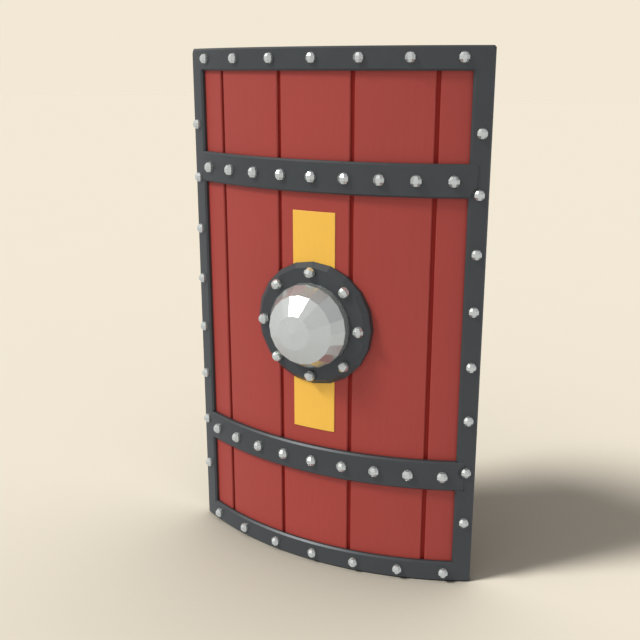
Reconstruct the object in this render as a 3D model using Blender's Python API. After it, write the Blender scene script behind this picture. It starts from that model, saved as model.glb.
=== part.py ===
"""Roman scutum: a curved shield of five painted planks on a backing board, bound in iron,
with a faceted steel boss in front and a wooden hand grip behind.

The shield stands upright on its lower edge. Its front faces -Y, +X is to the right of
someone looking at that front, and the curve has one upright axis behind the shield.
"""
import math

import bmesh
import bpy
from mathutils import Matrix, Vector

# Whole shield, in metres
HEIGHT = 1.050
WIDTH = 0.645
FACE_RADIUS = 0.6864
CLEARANCE = 0.0003
ARC_STEP = 1.6

# Planks and the board behind them
PLANK_THICKNESS = 0.0060
PLANK_PITCH = 0.1563
GROOVE_WIDTH = 0.0080
PLANK_CHAMFER = 0.0018
BACKING_THICKNESS = 0.0030
HAND_HOLE_RADIUS = 0.0620

# Iron rim: four strips folded round the edge of the board
RIM_PROUD = 0.0052
RIM_WALL = 0.0030
SIDE_STRIP_WIDTH = 0.0385
END_STRIP_WIDTH = 0.0429
RIM_CHAMFER = 0.0026

# Cross bands, which lap over the side strips; a drop is from the top, a rise from the foot
BAND_PROUD = 0.0078
BAND_WIDTH = 0.0617
BAND_LAP = 0.0178
BAND_CHAMFER = 0.0018
UPPER_BAND_DROP = 0.2353
LOWER_BAND_RISE = 0.2341

# Painted stripe on the middle plank, which ends a gap away from each cross band
STRIPE_WIDTH = 0.0920
STRIPE_GAP = 0.0362
STRIPE_THICKNESS = 0.0018
STRIPE_CHAMFER = 0.0008

# Boss: a hollow steel dome held down by an iron ring
BOSS_SIDES = 20
RING_RADIUS = 0.1252
RING_SLOPE_WIDTH = 0.0097
RING_PROUD = 0.0130
RING_EDGE_DROP = 0.0100
DOME_RADIUS = 0.0852
DOME_RISE = 0.0766
DOME_ROW_SHARES = ((0.987, 0.209), (0.804, 0.578), (0.400, 0.911))
DOME_WALL = 0.0020
DOME_FOOT_WIDTH = 0.0070
DOME_FOOT_THICKNESS = 0.0018
CUTTER_MARGIN = 0.0300

# Rivets: ball heads with flat facets, each cut off level with what it holds
RIM_RIVET_RADIUS = 0.0100
BAND_RIVET_RADIUS = 0.0111
BOSS_RIVET_RADIUS = 0.0108
RIVET_CENTRE_RISE = 0.0046
RIVET_SIDES = 8
RIVET_ROWS = 6
END_RIVET_COUNT = 7
END_RIVET_INSET = 0.0202
END_RIVET_CORNER_INSET = 0.0555
SIDE_RIVET_COUNT = 8
SIDE_RIVET_DROP = 0.1506
SIDE_RIVET_RISE = 0.1343
BAND_RIVET_COUNT = 9
BAND_RIVET_END_INSET = 0.0443
BOSS_RIVET_COUNT = 8
BOSS_RIVET_INSET = 0.0198

# Hand grip across the back of the hand hole
GRIP_LENGTH = 0.2800
GRIP_HAND_LENGTH = 0.1000
GRIP_HAND_HEIGHT = 0.0300
GRIP_HAND_DEPTH = 0.0240
GRIP_PAD_HEIGHT = 0.0440
GRIP_PAD_DEPTH = 0.0120
GRIP_CORNER = 0.0060

# Places that follow from the sizes above
PLANK_BACK = FACE_RADIUS - PLANK_THICKNESS
BACKING_FRONT = PLANK_BACK - CLEARANCE
BACKING_BACK = BACKING_FRONT - BACKING_THICKNESS
RIM_FRONT = FACE_RADIUS + RIM_PROUD
RIM_BACK = BACKING_BACK - CLEARANCE - RIM_WALL
BAND_FRONT = FACE_RADIUS + BAND_PROUD
HALF_ANGLE = math.degrees(math.asin(WIDTH / 2 / RIM_FRONT))
BOSS_HEIGHT = HEIGHT / 2
UPPER_BAND_HEIGHT = HEIGHT - UPPER_BAND_DROP
LOWER_BAND_HEIGHT = LOWER_BAND_RISE
STRIPE_START = DOME_RADIUS + DOME_FOOT_WIDTH + CLEARANCE
HALF_ARC = math.radians(HALF_ANGLE) * FACE_RADIUS
SIDE_RIVET_PITCH = (HEIGHT - SIDE_RIVET_DROP - SIDE_RIVET_RISE) / (SIDE_RIVET_COUNT - 1)
END_RIVET_PITCH = 2 * (HALF_ARC - END_RIVET_CORNER_INSET) / (END_RIVET_COUNT - 1)
BAND_HALF_LENGTH = HALF_ARC - SIDE_STRIP_WIDTH + BAND_LAP
BAND_RIVET_PITCH = 2 * (BAND_HALF_LENGTH - BAND_RIVET_END_INSET) / (BAND_RIVET_COUNT - 1)
RING_CREST_RADIUS = RING_RADIUS - RING_SLOPE_WIDTH
RING_FRONT = FACE_RADIUS + RING_PROUD
BOSS_RIVET_CIRCLE = RING_RADIUS - BOSS_RIVET_INSET
DOME_FRONT = RING_FRONT + DOME_RISE
FRONT_REACH = DOME_FRONT
REAR_REACH = RIM_BACK * math.cos(math.radians(HALF_ANGLE))
AXIS_Y = (FRONT_REACH + REAR_REACH) / 2


def degrees_along(length):
    """Angle that a length along the front of the planks takes up."""
    return math.degrees(length / FACE_RADIUS)


def on_curve(radius, angle, height):
    """Point at a radius and an angle from the middle, on the shield's upright curve."""
    turn = math.radians(angle)
    return Vector((radius * math.sin(turn), AXIS_Y - radius * math.cos(turn), height))


def stations(start, end):
    """Angles at which a curved piece has an edge: its two ends and whole steps between."""
    margin = ARC_STEP / 4
    first = math.ceil((start + margin) / ARC_STEP)
    last = math.floor((end - margin) / ARC_STEP)
    return [start] + [k * ARC_STEP for k in range(first, last + 1)] + [end]


def material(name, colour, roughness, metallic):
    """Principled material with one colour."""
    result = bpy.data.materials.new(name)
    result.use_nodes = True
    shader = result.node_tree.nodes["Principled BSDF"]
    shader.inputs["Base Color"].default_value = (*colour, 1.0)
    shader.inputs["Roughness"].default_value = roughness
    shader.inputs["Metallic"].default_value = metallic
    return result


def add_object(name, mesh_builder, finish, smooth_angle=None):
    """Object from a finished bmesh, with its faces turned outwards."""
    bmesh.ops.recalc_face_normals(mesh_builder, faces=mesh_builder.faces)
    if mesh_builder.calc_volume(signed=True) < 0:
        bmesh.ops.reverse_faces(mesh_builder, faces=mesh_builder.faces)
    mesh = bpy.data.meshes.new(name)
    mesh_builder.to_mesh(mesh)
    mesh_builder.free()
    if finish is not None:
        mesh.materials.append(finish)
    if smooth_angle is not None:
        mesh.shade_smooth()
        mesh.set_sharp_from_angle(angle=math.radians(smooth_angle))
    result = bpy.data.objects.new(name, mesh)
    bpy.context.scene.collection.objects.link(result)
    return result


def skin_rings(rings, closed):
    """Solid through rings of points; the last ring joins the first, or both ends are capped."""
    builder = bmesh.new()
    made = [[builder.verts.new(point) for point in ring] for ring in rings]
    pairs = list(zip(made, made[1:]))
    if closed:
        pairs.append((made[-1], made[0]))
    for near, far in pairs:
        for k in range(len(near)):
            after = (k + 1) % len(near)
            builder.faces.new((near[k], near[after], far[after], far[k]))
    if not closed:
        builder.faces.new(made[0])
        builder.faces.new(made[-1])
    return builder


def curved_slab(name, radii, angles, heights, finish):
    """Curved slab between two radii, two angles and two heights."""
    inner, outer = radii
    low, high = heights
    section = ((inner, low), (inner, high), (outer, high), (outer, low))
    rings = [[on_curve(r, a, z) for r, z in section] for a in stations(*angles)]
    return add_object(name, skin_rings(rings, closed=False), finish, 20)


def bevel_front_edges(target, width, front_radius, with_corners):
    """Bevel round a slab's front face, and through its four corners if asked."""
    mesh = target.data
    weights = mesh.attributes.new("bevel_weight_edge", "FLOAT", "EDGE")
    reach = [math.hypot(v.co.x, v.co.y - AXIS_Y) for v in mesh.vertices]
    angle = [math.degrees(math.atan2(v.co.x, AXIS_Y - v.co.y)) for v in mesh.vertices]
    ends = (min(angle), max(angle))
    slack = CLEARANCE / 3
    for edge in mesh.edges:
        a, b = edge.vertices
        front = min(reach[a], reach[b]) > front_radius - slack
        level = abs(mesh.vertices[a].co.z - mesh.vertices[b].co.z) < slack
        across = level and abs(reach[a] - reach[b]) > slack
        at_end = any(abs(angle[a] - end) + abs(angle[b] - end) < slack for end in ends)
        inner_station = front and not level and not at_end
        if (front and not inner_station) or (with_corners and across and at_end):
            weights.data[edge.index].value = 1.0
    bevel = target.modifiers.new("front edges", "BEVEL")
    bevel.limit_method = "WEIGHT"
    bevel.width = width
    bevel.segments = 1
    bevel.use_clamp_overlap = False


def bevel_groove_edges(target, left, right):
    """Chamfer the front upright edges of a plank on the sides that face a groove."""
    mesh = target.data
    weights = mesh.attributes.new("bevel_weight_edge", "FLOAT", "EDGE")
    for edge in mesh.edges:
        a, b = (mesh.vertices[k].co for k in edge.vertices)
        upright = abs(a.x - b.x) + abs(a.y - b.y) < CLEARANCE / 3
        at_front = math.hypot(a.x, a.y - AXIS_Y) > FACE_RADIUS - CLEARANCE / 3
        angle = math.degrees(math.atan2(a.x, AXIS_Y - a.y))
        beside = any(abs(angle - side) < ARC_STEP / 100 for side in (left, right) if side is not None)
        if upright and at_front and beside:
            weights.data[edge.index].value = 1.0
    bevel = target.modifiers.new("groove edges", "BEVEL")
    bevel.limit_method = "WEIGHT"
    bevel.width = PLANK_CHAMFER
    bevel.segments = 1
    bevel.use_clamp_overlap = False


def cut(target, cutter):
    """Take a hidden cutter out of a piece."""
    difference = target.modifiers.new("cut " + cutter.name, "BOOLEAN")
    difference.operation = "DIFFERENCE"
    difference.solver = "EXACT"
    difference.object = cutter


def as_cutter(target):
    """Hide a shape that only cuts others."""
    target.hide_render = True
    target.display_type = "WIRE"
    return target


def turned(name, profile, sides, finish, closed=True):
    """Solid turned about the boss axis from (radius, distance in front of the curve's axis)."""
    rings = []
    for k in range(sides):
        turn = 2 * math.pi * k / sides
        ring = [Vector((r * math.sin(turn), AXIS_Y - reach, BOSS_HEIGHT + r * math.cos(turn)))
                for r, reach in profile]
        rings.append(ring)
    return add_object(name, skin_rings(rings, closed=closed), finish)


def hand_hole_cutter():
    """Plug that cuts the hand hole through the middle plank and the backing board."""
    builder = bmesh.new()
    bmesh.ops.create_cone(
        builder, cap_ends=True, segments=BOSS_SIDES, radius1=HAND_HOLE_RADIUS,
        radius2=HAND_HOLE_RADIUS, depth=4 * (PLANK_THICKNESS + BACKING_THICKNESS))
    place = Matrix.Translation((0, AXIS_Y - PLANK_BACK, BOSS_HEIGHT))
    builder.transform(place @ Matrix.Rotation(math.radians(90), 4, "X"))
    return as_cutter(add_object("hand_hole_cutter", builder, None))


def make_planks(paint, hole):
    """Five planks side by side, with a groove between neighbours."""
    edge = HALF_ANGLE - math.degrees((RIM_WALL + CLEARANCE) / FACE_RADIUS)
    half_groove = degrees_along(GROOVE_WIDTH) / 2
    pitch = degrees_along(PLANK_PITCH)
    seams = [-1.5 * pitch, -0.5 * pitch, 0.5 * pitch, 1.5 * pitch]
    starts = [-edge] + [seam + half_groove for seam in seams]
    ends = [seam - half_groove for seam in seams] + [edge]
    low = RIM_WALL + CLEARANCE
    high = HEIGHT - low
    for number, (start, end) in enumerate(zip(starts, ends), 1):
        plank = curved_slab(f"plank_{number}", (PLANK_BACK, FACE_RADIUS), (start, end), (low, high), paint)
        bevel_groove_edges(plank, start if number > 1 else None, end if number < len(starts) else None)
        if start < 0 < end:
            cut(plank, hole)


def make_backing(paint, hole):
    """Thin board behind the planks, seen as the floor of the grooves."""
    edge = HALF_ANGLE - math.degrees((RIM_WALL + CLEARANCE) / FACE_RADIUS)
    low = RIM_WALL + CLEARANCE
    board = curved_slab(
        "backing_board", (BACKING_BACK, BACKING_FRONT), (-edge, edge), (low, HEIGHT - low), paint)
    cut(board, hole)


def board_slot_cutter():
    """The board's own space with its clearance, cut out of the rim strips."""
    edge = HALF_ANGLE - math.degrees(RIM_WALL / FACE_RADIUS)
    return as_cutter(curved_slab(
        "board_slot_cutter", (BACKING_BACK - CLEARANCE, FACE_RADIUS + CLEARANCE), (-edge, edge),
        (RIM_WALL, HEIGHT - RIM_WALL), None))


def make_rim(iron, slot):
    """Side strips of full height with the top and bottom strips between them."""
    radii = (RIM_BACK, RIM_FRONT)
    inner = HALF_ANGLE - degrees_along(SIDE_STRIP_WIDTH)
    between = inner - degrees_along(CLEARANCE)
    places = {
        "left_rim_strip": ((-HALF_ANGLE, -inner), (0.0, HEIGHT), True),
        "right_rim_strip": ((inner, HALF_ANGLE), (0.0, HEIGHT), True),
        "top_rim_strip": ((-between, between), (HEIGHT - END_STRIP_WIDTH, HEIGHT), False),
        "bottom_rim_strip": ((-between, between), (0.0, END_STRIP_WIDTH), False),
    }
    for name, (angles, heights, with_corners) in places.items():
        strip = curved_slab(name, radii, angles, heights, iron)
        bevel_front_edges(strip, RIM_CHAMFER, RIM_FRONT, with_corners)
        cut(strip, slot)
    return inner


def side_rivet_heights():
    """Heights of the rivets down a side strip, from the top."""
    return [HEIGHT - SIDE_RIVET_DROP - k * SIDE_RIVET_PITCH for k in range(SIDE_RIVET_COUNT)]


def side_rivet_angle():
    """Angle of the side strips' middle line, where their rivets stand."""
    return HALF_ANGLE - degrees_along(SIDE_STRIP_WIDTH) / 2


def rivet_seat(radius, angle, height):
    """Place and turn of a rivet whose base rests at a radius on the curve."""
    return Matrix.Translation(on_curve(radius, angle, height)) @ Matrix.Rotation(
        math.radians(angle), 4, "Z")


def rivet_builder(radius, sunk=0.0, phase=0.5):
    """Ball head that looks along -Y, cut off behind its base plane through the origin.

    The phase is how far, in facets, the facets are turned about the ball's upright axis.
    """
    builder = bmesh.new()
    bmesh.ops.create_uvsphere(builder, u_segments=RIVET_SIDES, v_segments=RIVET_ROWS, radius=radius)
    turn = Matrix.Rotation(2 * math.pi * phase / RIVET_SIDES, 4, "Z")
    builder.transform(Matrix.Translation((0, -RIVET_CENTRE_RISE, 0)) @ turn)
    everything = builder.verts[:] + builder.edges[:] + builder.faces[:]
    result = bmesh.ops.bisect_plane(
        builder, geom=everything, plane_co=(0, sunk, 0), plane_no=(0, 1, 0), clear_outer=True)
    rim = [edge for edge in result["geom_cut"] if isinstance(edge, bmesh.types.BMEdge)]
    bmesh.ops.edgeloop_fill(builder, edges=rim)
    return builder


def add_rivet(name, seat, finish, radius, phase=0.5):
    """One rivet head at its seat."""
    builder = rivet_builder(radius, phase=phase)
    builder.transform(seat)
    return add_object(name, builder, finish)


def make_rim_rivets(steel):
    """Rivets of the rim: rows along top and bottom, columns down both sides."""
    base = RIM_FRONT + CLEARANCE
    middle = (END_RIVET_COUNT - 1) / 2
    for row, height in (("top", HEIGHT - END_RIVET_INSET), ("bottom", END_RIVET_INSET)):
        for k in range(END_RIVET_COUNT):
            angle = (k - middle) * degrees_along(END_RIVET_PITCH)
            add_rivet(f"{row}_rivet_{k + 1}", rivet_seat(base, angle, height), steel, RIM_RIVET_RADIUS)
    for side, sign in (("left", -1), ("right", 1)):
        for k, height in enumerate(side_rivet_heights(), 1):
            seat = rivet_seat(base, sign * side_rivet_angle(), height)
            add_rivet(f"{side}_rivet_{k}", seat, steel, RIM_RIVET_RADIUS)


def lap_cutter(inner, sign):
    """Space of a side strip's front, relieved from the back of the bands."""
    start = inner - degrees_along(CLEARANCE)
    end = HALF_ANGLE + ARC_STEP
    angles = (start, end) if sign > 0 else (-end, -start)
    side = "right" if sign > 0 else "left"
    return as_cutter(curved_slab(
        f"{side}_lap_cutter", (PLANK_BACK, RIM_FRONT + CLEARANCE), angles, (0.0, HEIGHT), None))


def rivet_notch_cutter(name, sign, height):
    """Round plug that notches a band's end round a side rivet."""
    builder = bmesh.new()
    radius = (RIM_RIVET_RADIUS + CLEARANCE) / math.cos(math.pi / RIVET_SIDES)
    bmesh.ops.create_cone(
        builder, cap_ends=True, segments=2 * RIVET_SIDES, radius1=radius, radius2=radius,
        depth=4 * RIM_PROUD)
    seat = rivet_seat(RIM_FRONT, sign * side_rivet_angle(), height)
    builder.transform(seat @ Matrix.Rotation(math.radians(90), 4, "X"))
    return as_cutter(add_object(name, builder, None))


def make_band(name, height, iron, laps):
    """Cross band with its rivet heads, lapped over both side strips."""
    reach = degrees_along(BAND_HALF_LENGTH)
    low = height - BAND_WIDTH / 2
    band = curved_slab(
        name, (FACE_RADIUS + CLEARANCE, BAND_FRONT), (-reach, reach), (low, low + BAND_WIDTH), iron)
    bevel_front_edges(band, BAND_CHAMFER, BAND_FRONT, False)
    for cutter in laps:
        cut(band, cutter)
    for side, sign in (("left", -1), ("right", 1)):
        near = min(side_rivet_heights(), key=lambda z: abs(z - height))
        if abs(near - height) < BAND_WIDTH / 2 + RIM_RIVET_RADIUS + CLEARANCE:
            cut(band, rivet_notch_cutter(f"{name}_{side}_notch_cutter", sign, near))
    heads = band_rivet_heads(f"{name}_heads", height)
    union = band.modifiers.new("rivet heads", "BOOLEAN")
    union.operation = "UNION"
    union.solver = "EXACT"
    union.object = heads
    return band


def band_rivet_heads(name, height):
    """The row of rivet heads that is forged onto a band, as one hidden shape."""
    builder = bmesh.new()
    middle = (BAND_RIVET_COUNT - 1) / 2
    for k in range(BAND_RIVET_COUNT):
        angle = (k - middle) * degrees_along(BAND_RIVET_PITCH)
        head = rivet_builder(BAND_RIVET_RADIUS, sunk=BAND_PROUD / 4)
        head.transform(rivet_seat(BAND_FRONT, angle, height))
        copy = bpy.data.meshes.new("head")
        head.to_mesh(copy)
        head.free()
        builder.from_mesh(copy)
        bpy.data.meshes.remove(copy)
    return as_cutter(add_object(name, builder, None))


def make_stripes(paint):
    """Painted stripe above and below the boss, its inner ends under the ring."""
    half = degrees_along(STRIPE_WIDTH) / 2
    radii = (FACE_RADIUS + CLEARANCE, FACE_RADIUS + CLEARANCE + STRIPE_THICKNESS)
    spans = {
        "upper_stripe": (BOSS_HEIGHT + STRIPE_START, UPPER_BAND_HEIGHT - BAND_WIDTH / 2 - STRIPE_GAP),
        "lower_stripe": (LOWER_BAND_HEIGHT + BAND_WIDTH / 2 + STRIPE_GAP, BOSS_HEIGHT - STRIPE_START),
    }
    for name, heights in spans.items():
        stripe = curved_slab(name, radii, (-half, half), heights, paint)
        bevel_front_edges(stripe, STRIPE_CHAMFER, radii[1], False)


def boss_back_reach():
    """Distance from the axis to a plane safely behind the boss ring's lowest back edge."""
    return math.sqrt(FACE_RADIUS ** 2 - RING_RADIUS ** 2) - CLEARANCE


def boss_cutter_heights():
    """Lowest and highest point of the cutters that shape the back of the boss."""
    return BOSS_HEIGHT - RING_RADIUS - CUTTER_MARGIN, BOSS_HEIGHT + RING_RADIUS + CUTTER_MARGIN


def face_cutter():
    """Everything behind the planks' front and its clearance, which shapes the back of the boss."""
    reach = degrees_along(RING_RADIUS + CUTTER_MARGIN)
    return as_cutter(curved_slab(
        "face_cutter", (boss_back_reach() - PLANK_THICKNESS, FACE_RADIUS + CLEARANCE),
        (-reach, reach), boss_cutter_heights(), None))


def stepped_face_cutter():
    """As the face cutter, with a step forward where the stripe passes under the ring."""
    half = degrees_along(STRIPE_WIDTH / 2 + CLEARANCE)
    reach = degrees_along(RING_RADIUS + CUTTER_MARGIN)
    face = FACE_RADIUS + CLEARANCE
    back = boss_back_reach() - PLANK_THICKNESS
    line = [(face, angle) for angle in stations(-reach, -half)]
    line += [(face + STRIPE_THICKNESS + CLEARANCE, angle) for angle in stations(-half, half)]
    line += [(face, angle) for angle in stations(half, reach)]
    line += [(back, reach), (back, -reach)]
    rings = [[on_curve(radius, angle, height) for radius, angle in line]
             for height in boss_cutter_heights()]
    return as_cutter(add_object("stepped_face_cutter", skin_rings(rings, closed=False), None))


def make_ring(iron, face):
    """Ring with a sloping edge and a flat crest, stepped inside to hold the dome's foot."""
    edge = RING_FRONT - RING_EDGE_DROP
    bore = DOME_RADIUS + CLEARANCE
    foot_front = FACE_RADIUS + 2 * CLEARANCE + DOME_FOOT_THICKNESS + CLEARANCE
    foot_space = DOME_RADIUS + DOME_FOOT_WIDTH + CLEARANCE
    back = boss_back_reach()
    profile = (
        (RING_RADIUS, back), (RING_RADIUS, edge), (RING_CREST_RADIUS, RING_FRONT),
        (bore, RING_FRONT), (bore, foot_front), (foot_space, foot_front), (foot_space, back),
    )
    cut(turned("boss_ring", profile, BOSS_SIDES, iron), face)


def boss_circle(builder, radius, reach):
    """Ring of vertices round the boss axis, one for each side of the boss."""
    circle = []
    for k in range(BOSS_SIDES):
        turn = 2 * math.pi * k / BOSS_SIDES
        place = (radius * math.sin(turn), AXIS_Y - reach, BOSS_HEIGHT + radius * math.cos(turn))
        circle.append(builder.verts.new(place))
    return circle


def make_dome(steel, face):
    """Hollow faceted dome with a turned-out foot that the ring holds down."""
    foot_front = FACE_RADIUS + 2 * CLEARANCE + DOME_FOOT_THICKNESS
    foot = DOME_RADIUS + DOME_FOOT_WIDTH
    back = boss_back_reach()
    rows = [(DOME_RADIUS * share, RING_FRONT + DOME_RISE * rise) for share, rise in DOME_ROW_SHARES]
    outer = [(foot, back), (foot, foot_front), (DOME_RADIUS, foot_front), (DOME_RADIUS, RING_FRONT)] + rows
    shrink = 1 - DOME_WALL / DOME_RADIUS
    centre = RING_FRONT
    inner = [(DOME_RADIUS * shrink, back), (DOME_RADIUS * shrink, RING_FRONT)]
    inner += [(r * shrink, centre + (reach - centre) * (1 - DOME_WALL / DOME_RISE)) for r, reach in rows]
    builder = bmesh.new()
    shells = [[boss_circle(builder, *point) for point in line] for line in (outer, inner)]
    joints = [(shells[0][0], shells[1][0])]
    for shell in shells:
        joints += list(zip(shell, shell[1:]))
    for near, far in joints:
        for k in range(BOSS_SIDES):
            after = (k + 1) % BOSS_SIDES
            builder.faces.new((near[k], near[after], far[after], far[k]))
    for shell, reach in zip(shells, (DOME_FRONT, DOME_FRONT - DOME_WALL)):
        tip = builder.verts.new((0.0, AXIS_Y - reach, BOSS_HEIGHT))
        for k in range(BOSS_SIDES):
            builder.faces.new((shell[-1][k], shell[-1][(k + 1) % BOSS_SIDES], tip))
    cut(add_object("boss_dome", builder, steel), face)


def make_boss_rivets(steel):
    """Rivets round the crest of the boss ring, each turned to follow the ring."""
    for k in range(BOSS_RIVET_COUNT):
        turn = 2 * math.pi * k / BOSS_RIVET_COUNT
        place = Vector((BOSS_RIVET_CIRCLE * math.sin(turn), AXIS_Y - RING_FRONT - CLEARANCE,
                        BOSS_HEIGHT + BOSS_RIVET_CIRCLE * math.cos(turn)))
        along = Matrix.Rotation(turn + math.pi / 2, 4, "Y")
        add_rivet(f"boss_rivet_{k + 1}", Matrix.Translation(place) @ along, steel, BOSS_RIVET_RADIUS, 0.0)


def grip_section(x, front, back, half_height):
    """Eight-cornered section of the grip at one place along it."""
    c = GRIP_CORNER
    corners = ((front, half_height - c), (front - c, half_height), (back + c, half_height),
               (back, half_height - c), (back, c - half_height), (back + c, -half_height),
               (front - c, -half_height), (front, c - half_height))
    return [Vector((x, AXIS_Y - reach, BOSS_HEIGHT + z)) for reach, z in corners]


def make_grip(wood):
    """Wooden grip across the hand hole, with a pad at each end that seats on the board."""
    half = GRIP_LENGTH / 2
    hand = GRIP_HAND_LENGTH / 2
    seat = BACKING_BACK - CLEARANCE

    def board_reach(x):
        return math.sqrt(seat ** 2 - x ** 2)

    back = board_reach(half) - GRIP_PAD_DEPTH
    hand_front = back + GRIP_HAND_DEPTH
    pad_start = HAND_HOLE_RADIUS + (half - HAND_HOLE_RADIUS) / 4
    pads = [pad_start + (half - pad_start) * k / 4 for k in range(5)]
    places = [(x, board_reach(x), GRIP_PAD_HEIGHT / 2) for x in pads]
    places.insert(0, (hand, hand_front, GRIP_HAND_HEIGHT / 2))
    sections = [(-x, front, tall) for x, front, tall in reversed(places)] + places
    rings = [grip_section(x, front, back, tall) for x, front, tall in sections]
    add_object("hand_grip", skin_rings(rings, closed=False), wood, 30)


def build_shield():
    """Every piece of the shield."""
    red = material("red_paint", (0.40, 0.065, 0.045), 0.55, 0.0)
    dark_red = material("dark_red_paint", (0.22, 0.03, 0.022), 0.7, 0.0)
    yellow = material("yellow_paint", (0.85, 0.50, 0.09), 0.5, 0.0)
    iron = material("dark_iron", (0.065, 0.068, 0.070), 0.5, 0.6)
    steel = material("bright_steel", (0.62, 0.62, 0.61), 0.3, 1.0)
    wood = material("bare_wood", (0.36, 0.22, 0.11), 0.65, 0.0)
    hole = hand_hole_cutter()
    make_planks(red, hole)
    make_backing(dark_red, hole)
    inner = make_rim(iron, board_slot_cutter())
    laps = [lap_cutter(inner, sign) for sign in (-1, 1)]
    make_band("upper_band", UPPER_BAND_HEIGHT, iron, laps)
    make_band("lower_band", LOWER_BAND_HEIGHT, iron, laps)
    make_stripes(yellow)
    make_ring(iron, stepped_face_cutter())
    make_dome(steel, face_cutter())
    make_rim_rivets(steel)
    make_boss_rivets(steel)
    make_grip(wood)


for leftover in list(bpy.data.objects):
    bpy.data.objects.remove(leftover)
build_shield()
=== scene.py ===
"""Curved legion shield in its finished looks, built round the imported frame.

Painted planks, one welded iron rim, two riveted cross bands, a faceted steel boss and a wooden
grip stand on a pale studio floor. The curved pieces are laid out flat and then bent: in the flat
layout x runs along the front of the planks, y is depth behind that front and z is height.
"""
import math

import bpy
from bpy.props import FloatProperty, FloatVectorProperty, IntProperty, PointerProperty
from mathutils import Matrix, Vector


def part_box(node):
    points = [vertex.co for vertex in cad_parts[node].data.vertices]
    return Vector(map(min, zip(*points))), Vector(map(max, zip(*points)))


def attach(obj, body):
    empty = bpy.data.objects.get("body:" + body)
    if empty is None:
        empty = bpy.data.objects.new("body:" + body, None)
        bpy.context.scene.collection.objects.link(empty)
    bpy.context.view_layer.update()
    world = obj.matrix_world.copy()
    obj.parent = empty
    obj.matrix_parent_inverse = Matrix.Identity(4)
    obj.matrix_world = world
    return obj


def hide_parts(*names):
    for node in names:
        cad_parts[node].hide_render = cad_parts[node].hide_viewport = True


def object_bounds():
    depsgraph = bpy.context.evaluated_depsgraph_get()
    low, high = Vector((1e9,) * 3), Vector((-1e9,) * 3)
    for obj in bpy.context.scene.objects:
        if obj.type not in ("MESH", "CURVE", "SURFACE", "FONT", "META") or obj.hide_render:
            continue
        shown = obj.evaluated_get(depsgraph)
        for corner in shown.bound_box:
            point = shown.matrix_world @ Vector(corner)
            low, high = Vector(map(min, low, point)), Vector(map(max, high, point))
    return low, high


bl_info = {
    "name": "Curved Legion Shield",
    "version": (1, 0, 0),
    "blender": (4, 5, 0),
    "location": "3D View > Sidebar > Shield",
    "description": "Dresses the shield's frame in paint, iron, steel and wood",
    "category": "Object",
}

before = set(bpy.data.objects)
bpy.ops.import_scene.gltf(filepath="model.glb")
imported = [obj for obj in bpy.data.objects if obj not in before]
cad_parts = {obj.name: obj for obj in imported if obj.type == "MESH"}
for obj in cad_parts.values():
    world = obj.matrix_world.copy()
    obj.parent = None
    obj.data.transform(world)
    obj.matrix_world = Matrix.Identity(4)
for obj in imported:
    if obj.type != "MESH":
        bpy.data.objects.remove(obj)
CAD_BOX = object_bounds()

# Places on the frame that the new pieces are fitted to, in metres. Both radii are measured from the
# upright axis that the shield is curved round, to the front of the planks and the back of the board.
FACE_RADIUS = 0.6864
BACKING_BACK = 0.6771
AXIS_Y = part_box("plank_3")[0].y + FACE_RADIUS
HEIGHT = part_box("left_rim_strip")[1].z
BOSS_HEIGHT = HEIGHT / 2
GRIP_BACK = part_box("hand_grip")[1].y

# Half the board's breadth inside the rim and the pitch of the planks, both along the curve
BOARD_HALF = 0.3300
PLANK_PITCH = 0.1563

# Gap that keeps two pieces from sharing a face, and how far a cutting block may reach past a piece
FIT = 0.0003
AMPLE = 1.0

# Cross bands, and how many rivets each row of the frame has
BANDS = ("upper_band", "lower_band")
RIM_ROWS = {"left": 8, "right": 8, "top": 7, "bottom": 7}
BOSS_RIVETS = 8

# Nails in the grip's pads, measured from its middle, and the height within which the pads hide
# the board behind the boss's side rivets
NAIL_COLUMNS = (-0.124, -0.094, 0.094, 0.124)
NAIL_ROWS = (-0.009, 0.009)
PAD_HALF = 0.03

# Step at which flat iron is cut so that it can bend, and the angles in degrees below which
# neighbouring faces shade smooth
BEND_STEP = FACE_RADIUS * math.radians(0.8)
IRON_SMOOTH = 20
BUTTON_SMOOTH = 40

# Ways that light comes from, as azimuth and elevation in degrees, azimuth 0 in front of the shield
KEY_WAY = (316, 46)
FLOOR_KEY_WAY = (312, 46)
DIM_WALL_WAY = (105, 42)
LAMP_BREADTH = 13.0

# How the camera stands, in metres and degrees
CAMERA_PLACE = (0.80704, -1.49049, 1.00906)
CAMERA_TURN = (74.26, 0.0, 28.03)


class RimSizes(bpy.types.PropertyGroup):
    """Sizes of the iron rim."""

    side_width: FloatProperty(
        name="Side width", description="Width of the rim down each side",
        default=0.0374, min=0.02, max=0.08, unit="LENGTH")
    end_width: FloatProperty(
        name="End width", description="Width of the rim along the top and the foot",
        default=0.0429, min=0.02, max=0.08, unit="LENGTH")
    proud: FloatProperty(
        name="Proud", description="How far the rim's front stands before the planks",
        default=0.0088, min=0.002, max=0.01, unit="LENGTH")
    wall: FloatProperty(
        name="Wall", description="Thickness of the iron round the edge and behind the board",
        default=0.0030, min=0.001, max=0.006, unit="LENGTH")
    edge: FloatProperty(
        name="Edge", description="Width of the sloping edge along the rim's front",
        default=0.0034, min=0.0005, max=0.004, unit="LENGTH")


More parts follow.
